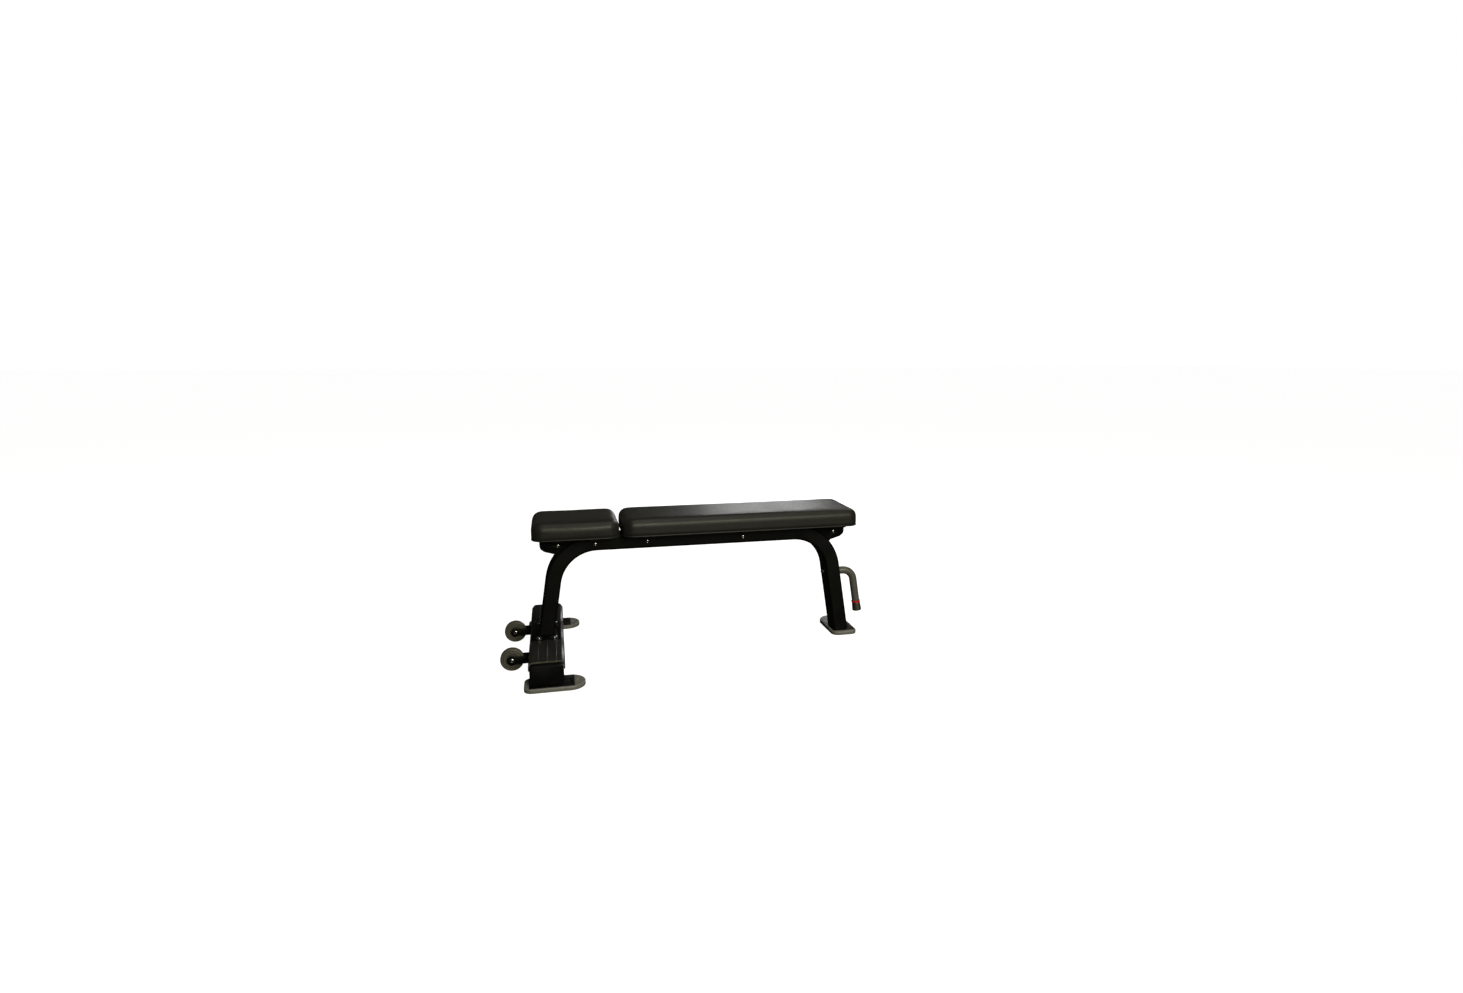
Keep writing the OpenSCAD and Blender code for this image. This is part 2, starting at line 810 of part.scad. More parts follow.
// flared end cap, with a spigot up inside the handle tube
module handle_cap() color([0.85, 0.85, 0.82]) {
    spigot_r = handle_r - handle_wall;
    neck_r = 14.5;
    on_grip() translate([0, 0, -grip_l]) rotate_extrude()
        polygon([
            [0, 0],
            [cap_r - cap_lip, 0],
            [cap_r, cap_lip],
            [neck_r, cap_l],
            [spigot_r, cap_l],
            [spigot_r, cap_l + ring_l + 14],
            [0, cap_l + ring_l + 14]
        ]);
}

main_tube();
gusset_wheel_end();
gusset_handle_end();
pad_straps();
cross_bolts();
cross_nuts();
pad_bolts();
pad_tnuts();
short_pad_board();
short_pad_foam();
short_pad_cover();
long_pad_board();
long_pad_foam();
long_pad_cover();
base_tube();
base_end_plate_near();
base_end_plate_far();
foot_plate_near();
foot_plate_far();
foot_plate_handle_end();
foot_near();
foot_far();
foot_handle_end();
foot_screws();
foot_pads();
saddle_plate();
saddle_bolts();
saddle_washers();
saddle_nuts();
tread_cover_near();
tread_cover_far();
wheel_fork_near();
wheel_fork_far();
fork_bolts();
fork_nuts();
wheel_near_tyre();
wheel_near_hub();
wheel_near_bush();
wheel_far_tyre();
wheel_far_hub();
wheel_far_bush();
axle_bolts();
axle_nuts();
axle_washers();
handle_tube();
handle_plug();
handle_bolt();
handle_washer();
handle_ring();
handle_cap();
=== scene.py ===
from math import cos, pi, radians, sin
import bmesh
import bpy
from mathutils import Matrix, Vector


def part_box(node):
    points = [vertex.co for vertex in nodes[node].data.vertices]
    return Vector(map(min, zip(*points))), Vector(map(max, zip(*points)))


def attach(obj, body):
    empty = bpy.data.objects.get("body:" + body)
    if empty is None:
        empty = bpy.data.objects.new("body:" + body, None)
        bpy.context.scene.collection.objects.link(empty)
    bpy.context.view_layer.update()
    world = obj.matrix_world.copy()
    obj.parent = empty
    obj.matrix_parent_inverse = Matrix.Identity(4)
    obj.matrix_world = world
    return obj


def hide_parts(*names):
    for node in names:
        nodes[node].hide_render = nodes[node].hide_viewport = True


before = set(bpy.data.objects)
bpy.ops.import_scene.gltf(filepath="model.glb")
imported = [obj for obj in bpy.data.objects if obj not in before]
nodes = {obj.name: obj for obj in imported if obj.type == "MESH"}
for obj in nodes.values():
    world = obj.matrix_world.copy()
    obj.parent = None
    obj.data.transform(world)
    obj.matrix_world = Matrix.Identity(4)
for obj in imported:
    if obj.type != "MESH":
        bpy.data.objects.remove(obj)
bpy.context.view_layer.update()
scene = bpy.context.scene
mm = 0.001
print("frame loaded,", len(nodes), "nodes")


# working helpers

def only(piece):
    if bpy.context.mode != "OBJECT":
        bpy.ops.object.mode_set(mode="OBJECT")
    bpy.ops.object.select_all(action="DESELECT")
    piece.select_set(True)
    bpy.context.view_layer.objects.active = piece


def openMesh(piece):
    only(piece)
    bpy.ops.object.mode_set(mode="EDIT")


def closeMesh():
    bpy.ops.object.mode_set(mode="OBJECT")


# selects faces, edges or corners of the mesh being edited by a test on their place
def pick(kind, test):
    bpy.ops.mesh.select_mode(type=kind)
    bpy.ops.mesh.select_all(action="DESELECT")
    mesh = bpy.context.edit_object.data
    shape = bmesh.from_edit_mesh(mesh)
    for part in {"VERT": shape.verts, "EDGE": shape.edges, "FACE": shape.faces}[kind]:
        if test(part):
            part.select_set(True)
    bmesh.update_edit_mesh(mesh)


def middle(part):
    return sum((corner.co for corner in part.verts), Vector()) / len(part.verts)


def upright(edge):
    run = edge.verts[0].co - edge.verts[1].co
    return abs(run.z) > 0.9 * run.length


def box(name, low, high):
    low, high = Vector(low), Vector(high)
    bpy.ops.object.select_all(action="DESELECT")
    bpy.ops.mesh.primitive_cube_add(size=1, location=(low + high) / 2)
    piece = bpy.context.active_object
    piece.name = name
    piece.scale = high - low
    bpy.ops.object.transform_apply(location=True, rotation=True, scale=True)
    return piece


def rod(name, radius, start, end, sides=32):
    start, end = Vector(start), Vector(end)
    bpy.ops.object.select_all(action="DESELECT")
    bpy.ops.mesh.primitive_cylinder_add(vertices=sides, radius=radius, depth=(end - start).length,
                                        location=(start + end) / 2)
    piece = bpy.context.active_object
    piece.name = name
    piece.rotation_mode = "QUATERNION"
    piece.rotation_quaternion = (end - start).to_track_quat("Z", "Y")
    bpy.ops.object.transform_apply(location=True, rotation=True, scale=True)
    return piece


def joined(name, pieces):
    only(pieces[0])
    for piece in pieces:
        piece.select_set(True)
    if len(pieces) > 1:
        bpy.ops.object.join()
    pieces[0].name = name
    return pieces[0]


def applied(piece, kind, **settings):
    only(piece)
    modifier = piece.modifiers.new(kind.lower(), kind)
    for key, value in settings.items():
        setattr(modifier, key, value)
    bpy.ops.object.modifier_apply(modifier=modifier.name)
    return piece


def cut(piece, cutter):
    applied(piece, "BOOLEAN", operation="DIFFERENCE", solver="MANIFOLD", object=cutter)
    bpy.data.objects.remove(cutter)
    return piece


def rounded(piece, width, segments=2, angle=32):
    return applied(piece, "BEVEL", width=width, segments=segments, limit_method="ANGLE",
                   angle_limit=radians(angle), harden_normals=False)


def smooth(piece, angle=32):
    only(piece)
    bpy.ops.object.shade_smooth_by_angle(angle=radians(angle))
    return piece


def outwards(piece, merge=1e-6):
    openMesh(piece)
    bpy.ops.mesh.select_all(action="SELECT")
    bpy.ops.mesh.remove_doubles(threshold=merge)
    bpy.ops.mesh.normals_make_consistent(inside=False)
    closeMesh()
    return piece


# turns a profile of (radius, height) points round +Z, then bevels its corners
def turned(name, profile, steps=48, bevel=0.0, segments=2, angle=25):
    bpy.ops.object.select_all(action="DESELECT")
    bpy.ops.mesh.primitive_plane_add(size=0.001)
    piece = bpy.context.active_object
    piece.name = name
    openMesh(piece)
    bpy.ops.mesh.select_mode(type="VERT")
    bpy.ops.mesh.select_all(action="SELECT")
    bpy.ops.mesh.merge(type="CENTER")
    bpy.ops.transform.translate(value=(profile[0][0], 0, profile[0][1]))
    for (r0, z0), (r1, z1) in zip(profile, profile[1:]):
        bpy.ops.mesh.extrude_vertices_move(TRANSFORM_OT_translate={"value": (r1 - r0, 0, z1 - z0)})
    bpy.ops.mesh.select_all(action="SELECT")
    bpy.ops.mesh.spin(steps=steps, angle=2 * pi, center=(0, 0, 0), axis=(0, 0, 1))
    closeMesh()
    outwards(piece, 2e-6)
    if bevel:
        rounded(piece, bevel, segments, angle)
    return piece


# a copy with its own mesh, moved by a matrix
def placed(piece, name, matrix):
    copy = bpy.data.objects.new(name, piece.data.copy())
    copy.data.transform(matrix)
    if matrix.determinant() < 0:
        copy.data.flip_normals()
    scene.collection.objects.link(copy)
    return copy


def towards(place, direction):
    turn = Vector(direction).to_track_quat("Z", "Y").to_matrix().to_4x4()
    return Matrix.Translation(Vector(place)) @ turn


# a CAD node's own shape with its loose triangles merged and its sharp edges eased
def eased(node, width, segments=2, angle=32):
    piece = bpy.data.objects.new(node + "_eased", nodes[node].data.copy())
    piece.data.materials.clear()
    scene.collection.objects.link(piece)
    openMesh(piece)
    bpy.ops.mesh.select_all(action="SELECT")
    bpy.ops.mesh.customdata_custom_splitnormals_clear()
    bpy.ops.mesh.remove_doubles(threshold=5e-6)
    bpy.ops.mesh.dissolve_limited(angle_limit=radians(0.6))
    closeMesh()
    if width:
        rounded(piece, width, segments, angle)
    return smooth(piece, 40)


def handOver(piece, body, slot, material, *stoodFor):
    if material:
        piece.data.materials.clear()
        piece.data.materials.append(material)
    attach(piece, body)
    if stoodFor:
        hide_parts(*stoodFor)
    return piece


# shader maths: a wire is a socket's value, and sums on it add Math nodes

class Wire:
    def __init__(self, tree, socket):
        self.tree = tree
        self.socket = socket

    def add(self, kind, settings, sockets, out=0):
        node = self.tree.nodes.new("ShaderNode" + kind)
        for key, value in settings.items():
            if key == "stops":
                first, *between, last = value
                ramp = node.color_ramp
                for element, (at, colour) in ((ramp.elements[0], first), (ramp.elements[-1], last)):
                    element.position = at
                    element.color = (*colour, 1)
                for at, colour in between:
                    ramp.elements.new(at).color = (*colour, 1)
            else:
                setattr(node, key, value)
        for key, value in sockets.items():
            if isinstance(value, Wire):
                self.tree.links.new(value.socket, node.inputs[key])
            else:
                node.inputs[key].default_value = value
        return Wire(self.tree, node.outputs[out])

    def maths(self, operation, first, second=0.0):
        return self.add("Math", {"operation": operation}, {0: first, 1: second})

    def __add__(self, other):
        return self.maths("ADD", self, other)

    def __sub__(self, other):
        return self.maths("SUBTRACT", self, other)

    def __rsub__(self, other):
        return self.maths("SUBTRACT", other, self)

    def __mul__(self, other):
        return self.maths("MULTIPLY", self, other)

    def __pow__(self, other):
        return self.maths("POWER", self, other)

    __radd__ = __add__
    __rmul__ = __mul__


def noise(place, size, detail=3.0, roughness=0.5):
    return place.add("TexNoise", {}, {"Vector": place, "Scale": 1 / size, "Detail": detail,
                                      "Roughness": roughness})


def cells(place, size, feature="F1"):
    return place.add("TexVoronoi", {"feature": feature}, {"Vector": place, "Scale": 1 / size})


def stretched(place, scale):
    return place.add("Mapping", {}, {"Vector": place, "Scale": scale})


def fit(value, low, high, outLow=0.0, outHigh=1.0):
    return value.add("MapRange", {}, {0: value, 1: low, 2: high, 3: outLow, 4: outHigh})


def tint(value, first, second):
    return value.add("Mix", {"data_type": "RGBA"}, {0: value, 6: (*first, 1), 7: (*second, 1)}, 2)


def tintOver(value, under, second):
    return value.add("Mix", {"data_type": "RGBA"}, {0: value, 6: under, 7: (*second, 1)}, 2)


def relief(height, distance, strength=1.0):
    return height.add("Bump", {}, {"Height": height, "Distance": distance, "Strength": strength})


# makes a material; look holds what is the same all over, paint(place) returns what varies
def finish(name, look, paint):
    material = bpy.data.materials.new(name)
    material.use_nodes = True
    tree = material.node_tree
    shader = tree.nodes["Principled BSDF"]
    for key, value in look.items():
        shader.inputs[key].default_value = value
    place = Wire(tree, tree.nodes.new("ShaderNodeTexCoord").outputs["Object"])
    for key, wire in paint(place).items():
        tree.links.new(wire.socket, shader.inputs[key])
    return material


# materials

powderCoat = {"grainSize": 0.9 * mm, "grainHeight": 0.10 * mm, "black": (0.0026, 0.0026, 0.0025),
              "dusty": (0.0058, 0.0058, 0.0055), "specular": 0.22}


def paintPowder(place):
    pebble = noise(place, powderCoat["grainSize"], 2.0, 0.55)
    cloud = noise(place, 60 * mm, 4.0, 0.6)
    scuff = fit(noise(stretched(place, (1, 6, 1)), 9 * mm, 5.0, 0.7), 0.66, 0.74)
    colour = tint(fit(cloud, 0.35, 0.75), powderCoat["black"], powderCoat["dusty"])
    return {"Base Color": tintOver(scuff * 0.4, colour, (0.014, 0.014, 0.013)),
            "Roughness": fit(cloud, 0.3, 0.7, 0.44, 0.56) - scuff * 0.10,
            "Normal": relief(pebble, powderCoat["grainHeight"], 0.5)}


def paintBase(place):
    pebble = noise(place, 0.9 * mm, 2.0, 0.55)
    cloud = noise(place, 45 * mm, 4.0, 0.6)
    dust = fit(noise(place, 14 * mm, 5.0, 0.7), 0.55, 0.8)
    colour = tint(fit(cloud, 0.35, 0.75), (0.0018, 0.0018, 0.0017), (0.0042, 0.0042, 0.0040))
    return {"Base Color": tintOver(dust * 0.35, colour, (0.011, 0.011, 0.010)),
            "Roughness": fit(cloud, 0.3, 0.7, 0.42, 0.55) + dust * 0.10,
            "Normal": relief(pebble, 0.10 * mm, 0.5)}


def paintSaddle(place):
    peel = noise(place, 3.5 * mm, 2.0, 0.4)
    smear = noise(stretched(place, (1, 0.3, 1)), 25 * mm, 4.0, 0.6)
    return {"Base Color": tint(fit(smear, 0.4, 0.7), (0.0010, 0.0010, 0.0010), (0.0026, 0.0026, 0.0026)),
            "Roughness": fit(smear, 0.35, 0.7, 0.24, 0.36),
            "Normal": relief(peel, 0.12 * mm, 0.35)}


def paintTread(place):
    lines = noise(stretched(place, (1, 0.02, 1)), 0.8 * mm, 2.0, 0.5)
    wear = noise(place, 18 * mm, 5.0, 0.65)
    return {"Base Color": tint(fit(wear, 0.35, 0.75), (0.026, 0.026, 0.0260), (0.042, 0.042, 0.041)),
            "Roughness": fit(wear, 0.3, 0.75, 0.25, 0.34) + lines * 0.04,
            "Normal": relief(lines, 0.02 * mm, 0.3)}


def paintTreadCut(place):
    saw = noise(stretched(place, (3, 1, 1)), 0.7 * mm, 3.0, 0.6)
    return {"Base Color": tint(fit(saw, 0.3, 0.7), (0.105, 0.100, 0.080), (0.160, 0.155, 0.125)),
            "Roughness": fit(saw, 0.3, 0.7, 0.45, 0.65),
            "Normal": relief(saw, 0.08 * mm, 0.6)}


def paintCasting(place):
    sand = noise(place, 0.8 * mm, 3.0, 0.65)
    lumps = noise(place, 7 * mm, 3.0, 0.5)
    grime = fit(noise(place, 22 * mm, 5.0, 0.7), 0.5, 0.78)
    colour = tint(fit(lumps, 0.3, 0.7), (0.330, 0.328, 0.318), (0.400, 0.396, 0.384))
    return {"Base Color": tintOver(grime * 0.5, colour, (0.170, 0.166, 0.156)),
            "Roughness": fit(sand, 0.3, 0.7, 0.42, 0.60) + grime * 0.12,
            "Metallic": fit(grime, 0.0, 1.0, 0.25, 0.10),
            "Normal": relief(sand * 0.6 + lumps, 0.25 * mm, 0.45)}


def paintRubber(place):
    grain = noise(place, 0.5 * mm, 3.0, 0.6)
    dust = fit(noise(place, 8 * mm, 5.0, 0.7), 0.45, 0.8)
    return {"Base Color": tint(dust, (0.010, 0.010, 0.010), (0.045, 0.043, 0.038)),
            "Roughness": fit(grain, 0.3, 0.7, 0.70, 0.88),
            "Normal": relief(grain, 0.06 * mm, 0.6)}


def paintVinyl(place):
    warp = noise(place, 6 * mm, 2.0, 0.5)
    pebbles = cells(place, 1.25 * mm, "DISTANCE_TO_EDGE")
    fine = noise(place, 0.5 * mm, 2.0, 0.5)
    crease = fit(pebbles, 0.0, 0.16)
    cloud = noise(place, 90 * mm, 4.0, 0.55)
    handled = fit(noise(stretched(place, (1, 0.6, 1)), 160 * mm, 3.0, 0.5), 0.45, 0.7)
    colour = tint(fit(cloud, 0.3, 0.7), (0.0235, 0.0234, 0.0222), (0.0290, 0.0288, 0.0272))
    # the creases between the grain's pebbles are mixed towards a darker tint: painted shade in the grain's
    # valleys
    return {"Base Color": tintOver((1 - crease) * 0.45, colour, (0.010, 0.0099, 0.0094)),
            "Roughness": fit(warp, 0.3, 0.7, 0.34, 0.42) + (1 - crease) * 0.15 - handled * 0.05,
            "Normal": relief(crease * 0.8 + fine * 0.35 + warp * 0.3, 0.16 * mm, 0.42)}


def paintPiping(place):
    twist = noise(stretched(place, (1, 1, 2)), 1.2 * mm, 2.0, 0.5)
    return {"Base Color": tint(fit(twist, 0.3, 0.7), (0.026, 0.0258, 0.0245), (0.040, 0.0397, 0.0375)),
            "Roughness": fit(twist, 0.3, 0.7, 0.36, 0.46),
            "Normal": relief(twist, 0.08 * mm, 0.5)}


def paintDustCloth(place):
    threads = {"Vector": place, "Scale": 190.0, "Distortion": 0.6}
    across = place.add("TexWave", {"bands_direction": "X"}, threads)
    along = place.add("TexWave", {"bands_direction": "Y"}, threads)
    fuzz = noise(place, 3 * mm, 4.0, 0.7)
    weave = across * along
    return {"Base Color": tint(weave * 0.6 + fuzz * 0.4, (0.006, 0.006, 0.006), (0.022, 0.022, 0.021)),
            "Roughness": fit(fuzz, 0.3, 0.7, 0.75, 0.92),
            "Normal": relief(weave, 0.10 * mm, 0.6)}


def paintPlywood(place):
    grain = noise(stretched(place, (1, 14, 14)), 60 * mm, 5.0, 0.6)
    plies = place.add("TexWave", {"bands_direction": "Z"},
                      {"Vector": place, "Scale": 100.0, "Distortion": 0.2})
    layers = fit(grain, 0.3, 0.7) * 0.7 + plies * 0.3
    return {"Base Color": tint(layers, (0.30, 0.19, 0.09), (0.52, 0.37, 0.20)),
            "Roughness": fit(grain, 0.3, 0.7, 0.60, 0.80),
            "Normal": relief(grain, 0.15 * mm, 0.5)}


def paintStrap(place):
    pebble = noise(place, 0.9 * mm, 2.0, 0.55)
    cloud = noise(place, 30 * mm, 4.0, 0.6)
    return {"Base Color": tint(fit(cloud, 0.35, 0.75), (0.0060, 0.0060, 0.0055), (0.0115, 0.0114, 0.0105)),
            "Roughness": fit(cloud, 0.3, 0.7, 0.40, 0.52),
            "Normal": relief(pebble, 0.08 * mm, 0.5)}


def paintBrightBolt(place):
    turning = noise(stretched(place, (3, 3, 3)), 1.6 * mm, 3.0, 0.6)
    stain = noise(place, 5 * mm, 4.0, 0.6)
    return {"Base Color": tint(fit(stain, 0.4, 0.75), (0.80, 0.80, 0.79), (0.58, 0.57, 0.54)),
            "Roughness": fit(turning, 0.3, 0.7, 0.08, 0.15),
            "Normal": relief(turning, 0.01 * mm, 0.4)}


def paintZinc(place):
    spangle = cells(place, 2.2 * mm)
    stain = noise(place, 6 * mm, 4.0, 0.6)
    return {"Base Color": tint(fit(stain, 0.35, 0.75), (0.30, 0.30, 0.31), (0.20, 0.20, 0.19)),
            "Roughness": fit(spangle, 0.0, 0.8, 0.32, 0.48),
            "Normal": relief(spangle, 0.02 * mm, 0.4)}


def paintUrethane(place):
    skin = noise(place, 1.1 * mm, 3.0, 0.6)
    dirt = fit(noise(place, 9 * mm, 5.0, 0.7), 0.48, 0.78)
    colour = tint(fit(skin, 0.3, 0.7), (0.135, 0.132, 0.103), (0.160, 0.157, 0.126))
    return {"Base Color": tintOver(dirt * 0.5, colour, (0.060, 0.058, 0.047)),
            "Roughness": fit(skin, 0.3, 0.7, 0.38, 0.50) + dirt * 0.15,
            "Normal": relief(skin, 0.05 * mm, 0.5)}


def paintHub(place):
    flow = noise(place, 4 * mm, 3.0, 0.6)
    return {"Base Color": tint(fit(flow, 0.3, 0.7), (0.105, 0.103, 0.083), (0.130, 0.127, 0.105)),
            "Roughness": fit(flow, 0.3, 0.7, 0.36, 0.48),
            "Normal": relief(flow, 0.04 * mm, 0.4)}


def paintBush(place):
    pores = noise(place, 0.6 * mm, 3.0, 0.7)
    return {"Base Color": tint(fit(pores, 0.3, 0.7), (0.42, 0.27, 0.11), (0.55, 0.38, 0.18)),
            "Roughness": fit(pores, 0.3, 0.7, 0.35, 0.50),
            "Normal": relief(pores, 0.02 * mm, 0.4)}


def paintHandle(place):
    brushed = noise(stretched(place, (1, 1, 5)), 0.7 * mm, 3.0, 0.6)
    handled = fit(noise(place, 24 * mm, 4.0, 0.6), 0.45, 0.75)
    return {"Base Color": tint(handled, (0.262, 0.259, 0.236), (0.205, 0.202, 0.182)),
            "Roughness": fit(brushed, 0.3, 0.7, 0.36, 0.50) - handled * 0.05,
            "Normal": relief(brushed, 0.03 * mm, 0.5)}


def paintRing(place):
    skin = noise(place, 1.0 * mm, 3.0, 0.5)
    return {"Base Color": tint(fit(skin, 0.3, 0.7), (0.93, 0.001, 0.010), (0.97, 0.003, 0.014)),
            "Roughness": fit(skin, 0.3, 0.7, 0.28, 0.40),
            "Normal": relief(skin, 0.03 * mm, 0.4)}


def paintCap(place):
    rings = noise(stretched(place, (1, 1, 12)), 3.0 * mm, 2.0, 0.5)
    smudge = noise(place, 8 * mm, 4.0, 0.6)
    return {"Base Color": tint(fit(smudge, 0.4, 0.75), (0.72, 0.71, 0.62), (0.58, 0.57, 0.49)),
            "Roughness": fit(smudge, 0.35, 0.75, 0.30, 0.40),
            "Normal": relief(rings, 0.01 * mm, 0.4)}


steel = {"Metallic": 1.0}
black = {"Specular IOR Level": powderCoat["specular"]}
framePaint = finish("framePaint", black, paintPowder)
basePaint = finish("basePaint", {"Specular IOR Level": 0.22}, paintBase)
saddlePaint = finish("saddlePaint", {"Specular IOR Level": 0.25}, paintSaddle)
treadRubber = finish("treadRubber", {"Specular IOR Level": 0.50}, paintTread)
treadCut = finish("treadCut", {"Specular IOR Level": 0.30}, paintTreadCut)
castGrey = finish("castGrey", {"Specular IOR Level": 0.50}, paintCasting)
footRubber = finish("footRubber", {"Specular IOR Level": 0.30}, paintRubber)
padVinyl = finish("padVinyl", {"Specular IOR Level": 0.50, "Sheen Weight": 0.03,
                               "Sheen Roughness": 0.5}, paintVinyl)
pipingVinyl = finish("pipingVinyl", {"Specular IOR Level": 0.50}, paintPiping)
dustCloth = finish("dustCloth", {"Specular IOR Level": 0.15}, paintDustCloth)
plywood = finish("plywood", {"Specular IOR Level": 0.30}, paintPlywood)
strapPaint = finish("strapPaint", {"Specular IOR Level": 0.35}, paintStrap)
brightSteel = finish("brightSteel", steel, paintBrightBolt)
zincPlate = finish("zincPlate", steel, paintZinc)
urethane = finish("urethane", {"Specular IOR Level": 0.45}, paintUrethane)
hubNylon = finish("hubNylon", {"Specular IOR Level": 0.45}, paintHub)
bronze = finish("bronze", steel, paintBush)
handleSilver = finish("handleSilver", {"Metallic": 0.35, "Specular IOR Level": 0.50}, paintHandle)
ringRed = finish("ringRed", {"Specular IOR Level": 0.10}, paintRing)
capChrome = finish("capChrome", steel, paintCap)
print("materials made")


# camera, floor and light

camera = {"place": (-0.4325, -2.4998, 0.9721), "tilt": 79.663, "turn": -12.982, "lens": 18.963}

bpy.ops.object.camera_add(location=camera["place"],
                          rotation=(radians(camera["tilt"]), 0, radians(camera["turn"])))
view = bpy.context.active_object
view.data.lens = camera["lens"]
view.data.sensor_width = 36
view.data.sensor_fit = "HORIZONTAL"
view.data.clip_start = 0.05
view.data.clip_end = 200
scene.camera = view
scene.view_settings.view_transform = "Standard"

floorLook = {"size": 120, "pale": (0.88, 0.88, 0.88), "glow": 0.97}

bpy.ops.object.select_all(action="DESELECT")
bpy.ops.mesh.primitive_plane_add(size=floorLook["size"], location=(0, 0, 0))
floor = bpy.context.active_object
floor.name = "floor"
pale = bpy.data.materials.new("pale")
pale.use_nodes = True
paleShader = pale.node_tree.nodes["Principled BSDF"]
paleShader.inputs["Base Color"].default_value = (*floorLook["pale"], 1)
paleShader.inputs["Roughness"].default_value = 0.9
paleShader.inputs["Specular IOR Level"].default_value = 0.0
paleShader.inputs["Emission Color"].default_value = (1, 1, 1, 1)
paleShader.inputs["Emission Strength"].default_value = floorLook["glow"]
floor.data.materials.append(pale)
floor.visible_glossy = False          # dark surfaces stay dark on a bright floor
floor.visible_diffuse = False

aim = Vector((0, 0, 0.3))             # what every lamp faces
lamps = {
    "key": {"place": (0.9, -4.2, 2.3), "size": (2.2, 2.2), "power": 92, "colour": (1.0, 0.965, 0.75)},
    "top": {"place": (0.4, -0.7, 3.0), "size": (2.2, 1.4), "power": 11, "colour": (1.0, 0.97, 0.84)},
    "panel": {"place": (1.2, 3.3, 0.85), "size": (0.85, 1.6), "power": 13.5, "colour": (1.0, 1.0, 1.0)},
    "rear": {"place": (2.8, 3.0, 3.0), "size": (1.6, 1.6), "power": 16, "colour": (1.0, 0.98, 0.92)},
}

for name, lamp in lamps.items():
    light = bpy.data.lights.new(name, "AREA")
    light.shape = "RECTANGLE"
    light.size, light.size_y = lamp["size"]
    light.energy = lamp["power"]
    light.color = lamp["colour"]
    stand = bpy.data.objects.new(name, light)
    stand.location = lamp["place"]
    stand.rotation_mode = "QUATERNION"
    stand.rotation_quaternion = (aim - Vector(lamp["place"])).to_track_quat("-Z", "Y")
    scene.collection.objects.link(stand)

roomLook = {"fill": (0.018, 0.0175, 0.015), "seen": (1.0, 1.0, 1.0)}

world = bpy.data.worlds.new("studio")
world.use_nodes = True
scene.world = world
room = world.node_tree
seen = Wire(room, room.nodes.new("ShaderNodeLightPath").outputs["Is Camera Ray"])
room.links.new(tint(seen, roomLook["fill"], roomLook["seen"]).socket,
               room.nodes["Background"].inputs["Color"])
print("studio set")


# pads: a firm foam block in vinyl, swelled by cloth pressure

padLook = {"inset": 0.8 * mm, "corner": 35 * mm, "topEdge": 24.5 * mm, "lowEdge": 9 * mm,
           "roundSteps": 12, "lowSteps": 3, "voxel": 5 * mm, "cap": 1.4 * mm, "pressure": 4.0,
           "stretch": 60, "bend": 12, "steps": 20, "calm": 24, "seam": 6.5 * mm,
           "seamDepth": 1.1 * mm, "seamReach": 2.25 * mm, "flat": 2.5 * mm, "lift": 0.3 * mm,
           "fill": 0.9}


# each point's move averaged with its neighbours', so that firm foam shows no creases
def evened(piece, moves):
    links = [[] for _ in moves]
    for edge in piece.data.edges:
        first, second = edge.vertices
        links[first].append(second)
        links[second].append(first)
    for _ in range(padLook["calm"]):
        moves = [sum((moves[i] for i in near), move * len(near)) / (2 * len(near))
                 for move, near in zip(moves, links)]
    return moves


# a short cloth simulation under pressure, with the part below a height held still
def swell(piece, holdBelow):
    hold = piece.vertex_groups.new(name="board")
    hold.add([v.index for v in piece.data.vertices if v.co.z < holdBelow], 1.0, "REPLACE")
    before = [v.co.copy() for v in piece.data.vertices]
    only(piece)
    cloth = piece.modifiers.new("cloth", "CLOTH")
    cloth.settings.use_pressure = True
    cloth.settings.uniform_pressure_force = padLook["pressure"]
    cloth.settings.effector_weights.gravity = 0
    cloth.settings.vertex_group_mass = "board"
    cloth.settings.tension_stiffness = padLook["stretch"]
    cloth.settings.compression_stiffness = padLook["stretch"]
    cloth.settings.bending_stiffness = padLook["bend"]
    cloth.collision_settings.use_collision = False
    cloth.point_cache.frame_end = padLook["steps"]
    for step in range(1, padLook["steps"] + 1):
        scene.frame_set(step)
    bpy.ops.object.modifier_apply(modifier="cloth")
    moves = [v.co - start for v, start in zip(piece.data.vertices, before)]
    moves = [move * min(1, padLook["cap"] / max(move.length, 1e-9)) for move in moves]
    for v, start, move in zip(piece.data.vertices, before, evened(piece, moves)):
        v.co = start + move
    piece.vertex_groups.clear()
    scene.frame_set(1)


